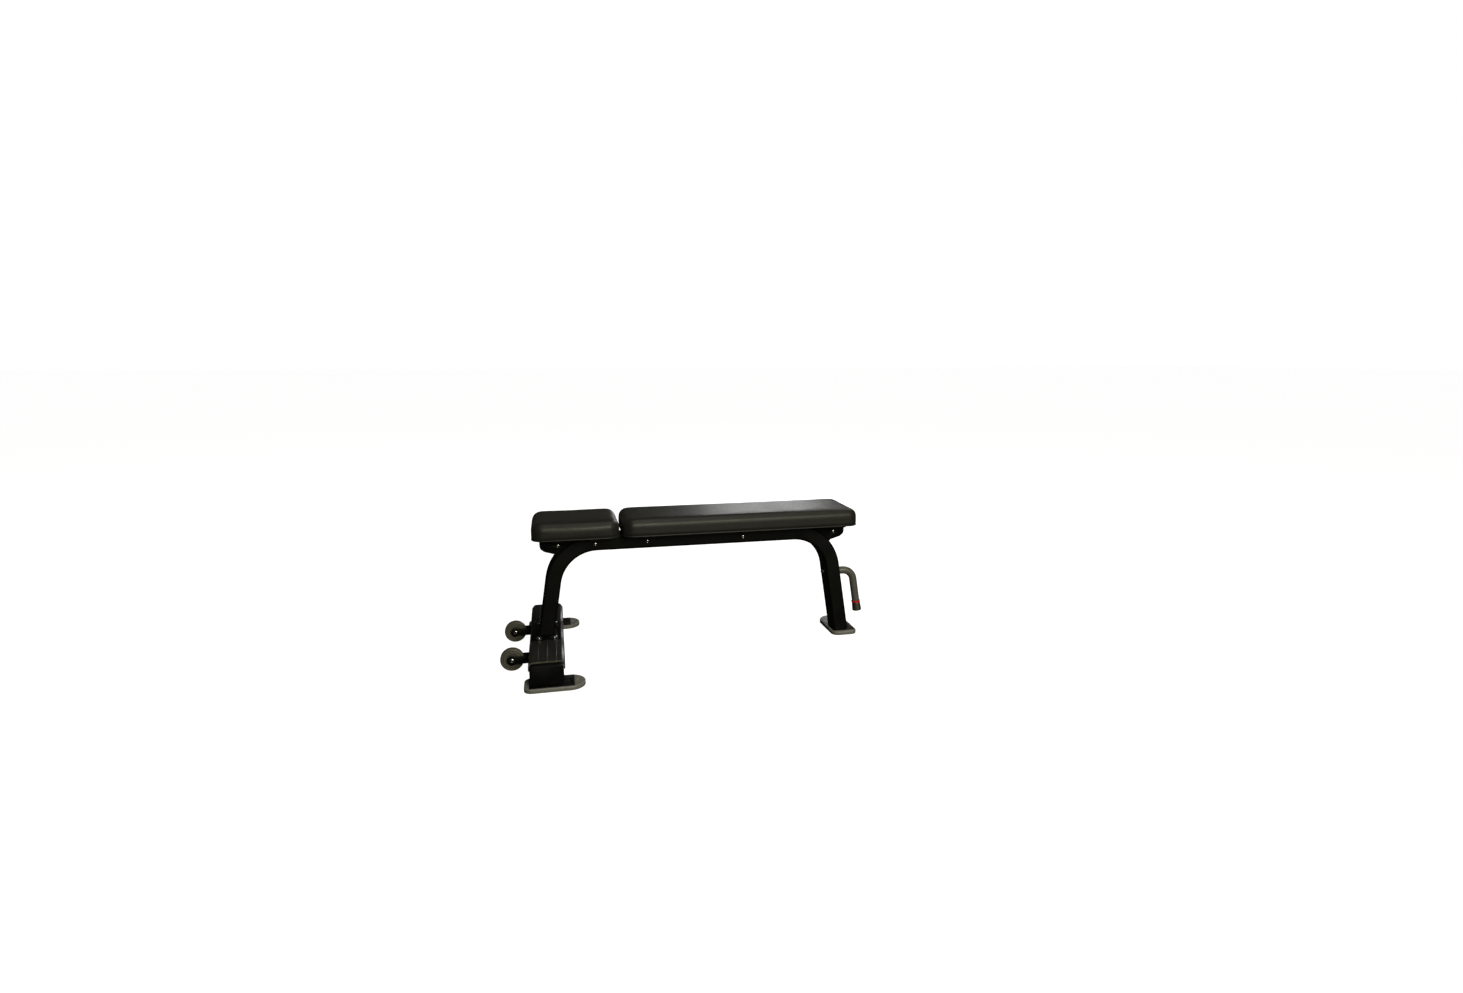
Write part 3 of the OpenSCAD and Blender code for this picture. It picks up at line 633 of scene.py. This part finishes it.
def makePad(which):
    low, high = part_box(which + "_pad_cover")
    shrink = Vector((padLook["inset"],) * 3)
    pad = box(which + "_pad_vinyl", low + shrink, high - shrink)
    openMesh(pad)
    pick("EDGE", upright)
    bpy.ops.mesh.bevel(offset=padLook["corner"], segments=padLook["roundSteps"], affect="EDGES")
    pick("EDGE", lambda edge: all(v.co.z > high.z - 5 * mm for v in edge.verts))
    bpy.ops.mesh.bevel(offset=padLook["topEdge"], segments=padLook["roundSteps"], affect="EDGES")
    pick("EDGE", lambda edge: all(v.co.z < low.z + 5 * mm for v in edge.verts))
    bpy.ops.mesh.bevel(offset=padLook["lowEdge"], segments=padLook["lowSteps"], affect="EDGES")
    closeMesh()
    applied(pad, "REMESH", mode="VOXEL", voxel_size=padLook["voxel"])
    seamZ = low.z + padLook["seam"]
    swell(pad, seamZ)
    applied(pad, "SUBSURF", levels=1, render_levels=1)
    centre = (low + high) / 2
    half = (high - low) / 2
    for v in pad.data.vertices:
        near = 1 - abs(v.co.z - seamZ) / padLook["seamReach"]
        sideways = max(abs(v.co.x - centre.x) / half.x, abs(v.co.y - centre.y) / half.y)
        if near > 0 and sideways > 0.85:
            pull = Vector((v.normal.x, v.normal.y, 0)).normalized()
            v.co -= pull * padLook["seamDepth"] * near
        if v.co.z < low.z + padLook["flat"] and sideways < 0.95:
            v.co.z = max(v.co.z, low.z + padLook["lift"])
    smooth(pad, 80)
    handOver(pad, "frame", "vinyl", padVinyl, which + "_pad_cover", which + "_pad_foam")
    print(which, "pad made,", len(pad.data.polygons), "faces")


pipingLook = {"radius": 2.0 * mm, "drop": 2.6 * mm, "out": 0.2 * mm, "corner": 36 * mm,
              "cornerSteps": 16}


# a closed loop round a pad, as a plane's rim with round corners, thickened into a cord
def rimLoop(name, low, high, height, inset, corner, radius):
    bpy.ops.object.select_all(action="DESELECT")
    bpy.ops.mesh.primitive_plane_add(
        size=1, location=((low.x + high.x) / 2, (low.y + high.y) / 2, height))
    loop = bpy.context.active_object
    loop.name = name
    loop.scale = (high.x - low.x - 2 * inset, high.y - low.y - 2 * inset, 1)
    bpy.ops.object.transform_apply(location=True, rotation=True, scale=True)
    openMesh(loop)
    bpy.ops.mesh.select_all(action="SELECT")
    bpy.ops.mesh.bevel(offset=corner, segments=pipingLook["cornerSteps"], affect="VERTICES")
    bpy.ops.mesh.select_all(action="SELECT")
    bpy.ops.mesh.delete(type="ONLY_FACE")
    closeMesh()
    only(loop)
    bpy.ops.object.convert(target="CURVE")
    loop.data.bevel_depth = radius
    loop.data.bevel_resolution = 3
    bpy.ops.object.convert(target="MESH")
    outwards(loop)
    return smooth(loop, 60)


def makePiping(which):
    low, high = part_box(which + "_pad_cover")
    height = low.z + padLook["seam"] - pipingLook["drop"]
    cord = rimLoop(which + "_pad_piping", low, high, height,
                   pipingLook["radius"] - pipingLook["out"], pipingLook["corner"], pipingLook["radius"])
    return handOver(cord, "frame", "vinyl", pipingVinyl)


clothLook = {"inset": 24 * mm, "thick": 0.6 * mm, "into": 1.2 * mm, "corner": 18 * mm,
             "cornerSteps": 6, "hem": 7 * mm, "step": 1 * mm, "hemHeight": 0.35 * mm}


# the woven sheet under a pad, with a thicker hem round its edge
def makeUnderside(which):
    low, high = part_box(which + "_pad_cover")
    inset = Vector((clothLook["inset"], clothLook["inset"], 0))
    top = low.z + clothLook["into"]
    sheet = box(which + "_pad_dust_cloth", low + inset, Vector((high.x, high.y, top)) - inset)
    for v in sheet.data.vertices:
        v.co.z = top if v.co.z > top - 0.1 * mm else low.z - clothLook["thick"]
    openMesh(sheet)
    pick("EDGE", upright)
    bpy.ops.mesh.bevel(offset=clothLook["corner"], segments=clothLook["cornerSteps"], affect="EDGES")
    pick("FACE", lambda face: face.normal.z < -0.9)
    bpy.ops.mesh.inset(thickness=clothLook["hem"])
    bpy.ops.mesh.inset(thickness=clothLook["step"])
    bpy.ops.transform.translate(value=(0, 0, clothLook["hemHeight"]))
    closeMesh()
    rounded(sheet, 0.25 * mm, 2)
    smooth(sheet)
    return handOver(sheet, "frame", "vinyl", dustCloth)


for which in ("short", "long"):
    makePad(which)
for which in ("short", "long"):
    makePiping(which)
    makeUnderside(which)
print("pads done")


# painted steel: the CAD shapes with eased edges

easedNodes = [          # CAD node, piece, width of the eased edge in mm, slot, material
    ("main_tube", "frame_tube", 0.0, "frame_paint", framePaint),
    ("gusset_wheel_end", "wheel_end_gusset", 1.2, "frame_paint", framePaint),
    ("gusset_handle_end", "handle_end_gusset", 1.2, "frame_paint", framePaint),
    ("pad_straps", "pad_strap_bars", 0.7, "strap_paint", strapPaint),
    ("base_tube", "base_box", 0.4, "base_paint", basePaint),
    ("base_end_plate_near", "near_end_plate", 0.9, "base_paint", basePaint),
    ("base_end_plate_far", "far_end_plate", 0.9, "base_paint", basePaint),
    ("foot_plate_near", "near_foot_plate", 0.7, "foot_plate", basePaint),
    ("foot_plate_far", "far_foot_plate", 0.7, "foot_plate", basePaint),
    ("foot_plate_handle_end", "handle_end_foot_plate", 0.7, "foot_plate", basePaint),
    ("saddle_plate", "saddle_wrap", 0.6, "saddle_paint", saddlePaint),
    ("wheel_fork_near", "near_wheel_bracket", 0.5, "base_paint", basePaint),
    ("wheel_fork_far", "far_wheel_bracket", 0.5, "base_paint", basePaint),
    ("foot_pads", "rubber_foot_pads", 0.5, "foot_rubber", footRubber),
]
for node, name, width, slot, material in easedNodes:
    piece = eased(node, width * mm)
    piece.name = name
    handOver(piece, "frame", slot, material, node)

treadLook = {"edge": 0.22 * mm}

for node, name in (("tread_cover_near", "near_tread"), ("tread_cover_far", "far_tread")):
    piece = eased(node, treadLook["edge"])
    piece.name = name
    handOver(piece, "frame", "tread", treadRubber, node)
    piece.data.materials.append(treadCut)
    for face in piece.data.polygons:      # the sawn ends are paler than the ridges
        if abs(face.normal.y) > 0.9:
            face.material_index = 1
print("painted steel done")


# cast feet

footLook = {"rear": 67.6 * mm, "length": 180 * mm, "width": 92 * mm, "low": 1 * mm, "top": 13.5 * mm,
            "rearRadius": 25 * mm, "edge": 3 * mm, "pocketBack": 53 * mm, "pocketFront": 80 * mm,
            "pocketWidth": 80 * mm, "sink": 5 * mm, "anchor": 9 * mm, "anchorIn": 18.5 * mm,
            "padXs": (-12 * mm, 34 * mm), "padY": 24 * mm, "padRadius": 13.1 * mm,
            "padDepth": 3.2 * mm, "ease": 0.6 * mm}


def makeFoot():
    look = footLook
    front = look["length"] - look["rear"]
    half = look["width"] / 2
    foot = box("cast_foot", (-look["rear"], -half, look["low"]), (front, half, look["top"]))
    openMesh(foot)
    pick("EDGE", lambda edge: upright(edge) and middle(edge).x < 0)
    bpy.ops.mesh.bevel(offset=look["rearRadius"], segments=12, affect="EDGES")
    pick("EDGE", lambda edge: upright(edge) and middle(edge).x > front - 1 * mm)
    bpy.ops.mesh.bevel(offset=half - 0.05 * mm, segments=24, affect="EDGES")
    pick("EDGE", lambda edge: all(v.co.z > look["top"] - 1e-6 for v in edge.verts))
    bpy.ops.mesh.bevel(offset=look["edge"], segments=5, affect="EDGES")
    closeMesh()
    side = look["pocketWidth"] / 2
    pocket = box("pocket", (-look["pocketBack"], -side, look["top"] - look["sink"]),
                 (look["pocketFront"], side, look["top"] + 5 * mm))
    openMesh(pocket)
    pick("EDGE", upright)
    bpy.ops.mesh.bevel(offset=0.4 * mm, segments=3, affect="EDGES")
    closeMesh()
    hole = front - look["anchorIn"]
    cutters = [pocket, rod("anchor", look["anchor"] / 2, (hole, 0, -0.01), (hole, 0, 0.03), 40)]
    for x in look["padXs"]:
        for y in (-look["padY"], look["padY"]):
            cutters.append(rod("padSeat", look["padRadius"], (x, y, -0.01), (x, y, look["padDepth"]), 48))
    cut(foot, joined("footCutters", cutters))
    rounded(foot, look["ease"], 2, 40)
    return foot


foot = makeFoot()
baseMiddle = (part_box("base_tube")[0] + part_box("base_tube")[1]) / 2
for side in ("near", "far", "handle_end"):
    low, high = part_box("foot_" + side)
    if side == "handle_end":
        spot = Matrix.Translation(((low.x + high.x) / 2, low.y + footLook["rear"], 0))
        spot = spot @ Matrix.Rotation(pi / 2, 4, "Z")
    else:
        spot = Matrix.Translation((low.x + footLook["rear"], (low.y + high.y) / 2, 0))
    piece = placed(foot, "cast_foot_" + side, spot)
    smooth(piece, 40)
    handOver(piece, "frame", "casting", castGrey, "foot_" + side)
bpy.data.objects.remove(foot)
print("feet done")


# fasteners

boltLook = {"socketDepth": 0.55, "rim": 0.28, "point": 0.82, "arcSteps": 9, "steps": 40}
boltSizes = {           # in mm: head radius, head height, key, shank radius, length
    "cross": (7, 4.4, 5, 4, 84), "saddle": (8.5, 5, 6, 5, 19.5),
    "axle": (7.5, 4.4, 5, 4, 41), "fork": (7, 4.4, 5, 4, 20),
}
nutSizes = {"cross": (13, 6.5, 4), "axle": (13, 8, 4), "pad": (13, 5.3, 0.5)}   # across, height, bore
washerLook = {"radius": 10.5 * mm, "bore": 5.5 * mm, "height": 1.5 * mm}


# a button head with a hexagon socket and its shank, head up, seat at z = 0
def buttonBolt(which):
    radius, height, key, shank, length = (size * mm for size in boltSizes[which])
    rim, arcSteps = boltLook["rim"], boltLook["arcSteps"]
    arc = [(radius * cos(a), height * (rim + (1 - rim) * sin(a)))
           for a in [i * pi / 2 / arcSteps for i in range(arcSteps)]]
    profile = [(0, -length), (shank * boltLook["point"], -length), (shank, -length + 1 * mm),
               (shank, 0), (radius, 0)]
    bolt = turned("bolt", profile + arc + [(0, height)], boltLook["steps"])
    socket = rod("socket", key / 2 / cos(pi / 6), (0, 0, height * (1 - boltLook["socketDepth"])),
                 (0, 0, height * 2), 6)
    cut(bolt, socket)
    rounded(bolt, 0.18 * mm, 2, 35)
    return smooth(bolt, 35)


# a chamfered hexagon nut standing on z = 0
def hexNut(which):
    across, height, bore = (size * mm for size in nutSizes[which])
    corner = across / 2 / cos(pi / 6)
    nut = rod("nut", corner, (0, 0, 0), (0, 0, height), 6)
    chamfer = turned("chamfer", [(0, 0), (across / 2, 0), (corner, 0.9 * mm), (corner, height - 0.9 * mm),
                                 (across / 2, height), (0, height)], 48)
    applied(nut, "BOOLEAN", operation="INTERSECT", solver="MANIFOLD", object=chamfer)
    bpy.data.objects.remove(chamfer)
    cut(nut, rod("bore", bore, (0, 0, -0.01), (0, 0, 0.03), 32))
    rounded(nut, 0.2 * mm, 2, 25)
    return smooth(nut, 30)


def flatWasher():
    radius, bore, height = washerLook["radius"], washerLook["bore"], washerLook["height"]
    ring = turned("washer", [(bore, 0), (radius, 0), (radius, height), (bore, height), (bore, 0)], 48,
                  0.25 * mm)
    return smooth(ring, 30)


def copies(master, name, places, body, slot, material, *stoodFor):
    group = joined(name, [placed(master, name + str(i), spot) for i, spot in enumerate(places)])
    handOver(group, body, slot, material, *stoodFor)
    return group


strapEnds = []          # where each strap starts and ends along X
for v in sorted(nodes["pad_straps"].data.vertices, key=lambda v: v.co.x):
    if not strapEnds or v.co.x - strapEnds[-1][0] > 45 * mm:
        strapEnds.append([v.co.x, v.co.x])
    strapEnds[-1][1] = max(strapEnds[-1][1], v.co.x)
strapXs = [(start + end) / 2 for start, end in strapEnds]
crossLow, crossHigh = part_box("cross_bolts")
crossZ = (crossLow.z + crossHigh.z) / 2
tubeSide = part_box("main_tube")[1].y
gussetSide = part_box("gusset_wheel_end")[1].y
clampSides = [gussetSide] + [tubeSide] * 3 + [gussetSide]

crossBolt = buttonBolt("cross")
copies(crossBolt, "cross_bolt_set",
       [towards((x, -side, crossZ), (0, -1, 0)) for x, side in zip(strapXs, clampSides)],
       "frame", "bright_bolt", brightSteel, "cross_bolts")
crossNut = hexNut("cross")
copies(crossNut, "cross_nut_set",
       [towards((x, side, crossZ), (0, 1, 0)) for x, side in zip(strapXs, clampSides)],
       "frame", "zinc", zincPlate, "cross_nuts")

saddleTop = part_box("saddle_plate")[1].z
saddleReach = (24.4 * mm, 70 * mm)      # from the middle of the saddle to its bolts
saddleSpots = [(baseMiddle.x + sx * saddleReach[0], sy * saddleReach[1])
               for sx in (-1, 1) for sy in (-1, 1)]
saddleBolt = buttonBolt("saddle")
copies(saddleBolt, "saddle_bolt_set",
       [Matrix.Translation((x, y, saddleTop + washerLook["height"])) for x, y in saddleSpots],
       "frame", "bright_bolt", brightSteel, "saddle_bolts")
saddleWasher = flatWasher()
copies(saddleWasher, "saddle_washer_set",
       [Matrix.Translation((x, y, saddleTop)) for x, y in saddleSpots],
       "frame", "zinc", zincPlate, "saddle_washers")

wheelMiddles = {}
for side in ("near", "far"):
    low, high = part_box("wheel_" + side + "_tyre")
    wheelMiddles[side] = (low + high) / 2
forkSide = Vector((0, 16 * mm, 0))      # from a wheel's middle to its fork's outer faces
axleBolt = buttonBolt("axle")
copies(axleBolt, "axle_bolt_set",
       [towards(centre - forkSide, (0, -1, 0)) for centre in wheelMiddles.values()],
       "frame", "bright_bolt", brightSteel, "axle_bolts")
axleNut = hexNut("axle")
copies(axleNut, "axle_nut_set",
       [towards(centre + forkSide, (0, 1, 0)) for centre in wheelMiddles.values()],
       "frame", "zinc", zincPlate, "axle_nuts")
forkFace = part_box("base_tube")[0].x - 4 * mm
forkBolt = buttonBolt("fork")
copies(forkBolt, "bracket_bolt_set",
       [towards((forkFace, centre.y, centre.z), (-1, 0, 0)) for centre in wheelMiddles.values()],
       "frame", "zinc", zincPlate, "fork_bolts")
padBoltY = 75 * mm
padBoltHead = hexNut("pad")
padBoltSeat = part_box("main_tube")[1].z - nutSizes["pad"][1] * mm
copies(padBoltHead, "pad_bolt_head_set",
       [Matrix.Translation((x, y, padBoltSeat)) for x in strapXs for y in (-padBoltY, padBoltY)],
       "frame", "zinc", zincPlate, "pad_bolts")
for master in (crossBolt, crossNut, saddleBolt, saddleWasher, axleBolt, axleNut, forkBolt, padBoltHead):
    bpy.data.objects.remove(master)
print("fasteners done")


# wheels

wheelLook = {"radius": 36 * mm, "half": 11 * mm, "bore": 20 * mm, "shoulder": 5 * mm,
             "shoulderSteps": 6, "groove": 28 * mm, "sunk": 1.4 * mm, "grooveDepth": 2.8 * mm}


def makeTyre():
    look = wheelLook
    r, h, g = look["radius"], look["half"], look["groove"]
    face, floorZ, shoulder = h - look["sunk"], h - look["grooveDepth"], look["shoulder"]
    side = [(look["bore"], face), (g - 1.8 * mm, face), (g - 0.8 * mm, floorZ), (g + 0.4 * mm, floorZ),
            (g + 1.8 * mm, h), (r - shoulder, h)]
    count = look["shoulderSteps"]
    arc = [(r - shoulder + shoulder * sin(a), h - shoulder + shoulder * cos(a))
           for a in [i * pi / 2 / count for i in range(1, count + 1)]]
    upper = side + arc + [(r, 0.5 * mm), (r + 0.15 * mm, 0)]
    lower = [(x, -z) for x, z in reversed(upper[:-1])]
    tyre = turned("tyre", upper + lower + [upper[0]], 96, 0.35 * mm, 2, 28)
    return smooth(tyre, 35)


hubLook = {"bore": 7 * mm, "boss": 11 * mm, "web": 5.5 * mm, "rimIn": 17.6 * mm, "rim": 8.6 * mm,
           "ribs": 8, "ribEnd": 18 * mm, "ribHalf": 1.1 * mm, "ribRise": 7.2 * mm, "edge": 0.4 * mm}


def makeHub():
    look = hubLook
    half, boss, web, rim = wheelLook["half"], look["boss"], look["web"], look["rim"]
    profile = [(look["bore"], half), (boss, half), (boss, web), (look["rimIn"], web),
               (look["rimIn"], rim), (wheelLook["bore"], rim)]
    mirrored = [(x, -z) for x, z in reversed(profile)]
    hub = turned("hub", profile + mirrored + [profile[0]], 96, look["edge"], 2, 28)
    ribs = []
    for i in range(look["ribs"]):
        rib = box("rib", (boss - 1 * mm, -look["ribHalf"], -look["ribRise"]),
                  (look["ribEnd"], look["ribHalf"], look["ribRise"]))
        rib.data.transform(Matrix.Rotation((i + 0.5) * 2 * pi / look["ribs"], 4, "Z"))
        rounded(rib, look["edge"], 2)
        ribs.append(rib)
    return smooth(joined("hub", [hub] + ribs), 35)


tyre, hub = makeTyre(), makeHub()
for side, centre in wheelMiddles.items():
    spot = towards(centre, (0, -1, 0))
    body = "wheel_" + side
    handOver(placed(tyre, side + "_wheel_tyre", spot), body, "urethane", urethane, body + "_tyre")
    handOver(placed(hub, side + "_wheel_hub", spot), body, "wheel_hub", hubNylon, body + "_hub")
bpy.data.objects.remove(tyre)
bpy.data.objects.remove(hub)
print("wheels done")


# lift handle

handleLook = {"radius": 13.35 * mm, "bend": 40 * mm, "bendX": 550.2 * mm, "into": 2 * mm,
              "lean": radians(9.243), "straight": 83 * mm, "steps": 28}


def makeHandle():
    look = handleLook
    low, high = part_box("handle_tube")
    height = high.z - look["radius"]
    start = low.x + look["into"]
    bpy.ops.object.select_all(action="DESELECT")
    bpy.ops.mesh.primitive_circle_add(vertices=56, radius=look["radius"], fill_type="NGON",
                                      location=(start, 0, height), rotation=(0, pi / 2, 0))
    tube = bpy.context.active_object
    tube.name = "lift_handle_tube"
    bpy.ops.object.transform_apply(location=True, rotation=True, scale=True)
    openMesh(tube)
    bpy.ops.mesh.select_all(action="SELECT")
    bpy.ops.mesh.extrude_region_move(TRANSFORM_OT_translate={"value": (look["bendX"] - start, 0, 0)})
    bpy.ops.mesh.spin(steps=look["steps"], angle=pi / 2 - look["lean"],
                      center=(look["bendX"], 0, height - look["bend"]), axis=(0, -1, 0))
    down = Vector((sin(look["lean"]), 0, -cos(look["lean"]))) * look["straight"]
    bpy.ops.mesh.extrude_region_move(TRANSFORM_OT_translate={"value": down})
    closeMesh()
    outwards(tube)
    return smooth(tube, 40)


lean, bend = handleLook["lean"], handleLook["bend"]
bendMiddle = Vector((handleLook["bendX"], 0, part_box("handle_tube")[1].z - handleLook["radius"] - bend))
gripTop = bendMiddle + Vector((cos(lean), 0, sin(lean))) * bend
gripDown = Vector((sin(lean), 0, -cos(lean)))
ringLook = {"bore": 10 * mm, "radius": 15.5 * mm, "width": 6 * mm}
capLook = {"neck": 14.5 * mm, "radius": 16 * mm, "length": 30 * mm, "lip": 12.5 * mm,
           "dish": 11.8 * mm, "dishDepth": 1.2 * mm}

handOver(makeHandle(), "frame", "handle_silver", handleSilver, "handle_tube")
ringStart = gripTop + gripDown * handleLook["straight"]
bore, radius, width = ringLook["bore"], ringLook["radius"], ringLook["width"]
ringProfile = [(bore, 0), (radius, 0), (radius, width), (bore, width), (bore, 0)]
ring = smooth(turned("lift_handle_ring", ringProfile, 64, 1.0 * mm, 3), 40)
ring.data.transform(towards(ringStart, gripDown))
handOver(ring, "frame", "red_ring", ringRed, "handle_ring")
length, dishFloor = capLook["length"], capLook["length"] - capLook["dishDepth"]
capProfile = [(0, 0), (capLook["neck"], 0), (capLook["neck"], 3 * mm),
              (capLook["radius"], length - 4 * mm), (capLook["radius"], length),
              (capLook["lip"], length), (capLook["dish"], dishFloor), (0, dishFloor)]
cap = smooth(turned("lift_handle_cap", capProfile, 64, 0.8 * mm, 3), 40)
cap.data.transform(towards(ringStart + gripDown * width, gripDown))
handOver(cap, "frame", "cap_polished", capChrome, "handle_cap")
print("handle done")


# what is left of the CAD nodes keeps its shape and gets its finish

for node, material in (("wheel_near_bush", bronze), ("wheel_far_bush", bronze), ("short_pad_board", plywood),
                       ("long_pad_board", plywood), ("pad_tnuts", zincPlate), ("saddle_nuts", zincPlate),
                       ("fork_nuts", zincPlate), ("axle_washers", zincPlate), ("foot_screws", zincPlate),
                       ("handle_plug", zincPlate), ("handle_bolt", zincPlate), ("handle_washer", zincPlate)):
    nodes[node].data.materials.clear()
    nodes[node].data.materials.append(material)
